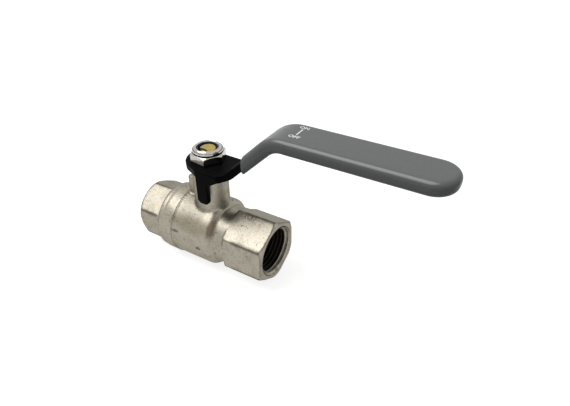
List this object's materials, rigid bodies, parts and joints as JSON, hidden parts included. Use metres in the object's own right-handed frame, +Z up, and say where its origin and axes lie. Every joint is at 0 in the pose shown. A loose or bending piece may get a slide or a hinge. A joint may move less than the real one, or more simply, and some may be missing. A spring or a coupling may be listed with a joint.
{
  "type": "lever ball valve",
  "caption": "Straight two-way isolating valve with female threaded ports, hexagon ends, a bored ball and a bent lever with a grey sleeve.",
  "frame": {"origin": "centre of the right-hand port, on the pipe axis, where its thread begins 1.25 mm inside the face", "axes": "+X out of that port along the pipe, and along the lever when the valve is open; +Z up along the stem"},
  "size_m": [0.1304, 0.0304, 0.0727],
  "materials": {
    "nickel_plate": "satin, nickel-plated and shot-blasted",
    "ball_chrome": "polished",
    "stem_brass": "turned",
    "seat_white": "smooth",
    "ring_rubber": "smooth",
    "lever_black": "semi-gloss black",
    "sleeve_grey": "soft satin",
    "nut_bright": "bright zinc",
    "nylon_dark": "smooth"
  },
  "bodies": {
    "valve": {"valve_body": "nickel_plate", "end_cap": "nickel_plate", "seat_ring_right": "seat_white", "seat_ring_left": "seat_white"},
    "lever_and_ball": {"lever": "lever_black", "lever_sleeve": "sleeve_grey", "lock_nut": "nut_bright", "nylon_insert": "nylon_dark", "stem": "stem_brass", "thrust_washer": "seat_white", "stem_ring_lower": "ring_rubber", "stem_ring_upper": "ring_rubber", "ball": "ball_chrome"}
  },
  "joints": [
    {"name": "lever_turn", "type": "hinge", "parent": "valve", "child": "lever_and_ball", "pos_m": [-0.03065, 0, 0], "axis": [0, 0, 1], "range_deg": [-90, 0]}
  ]
}
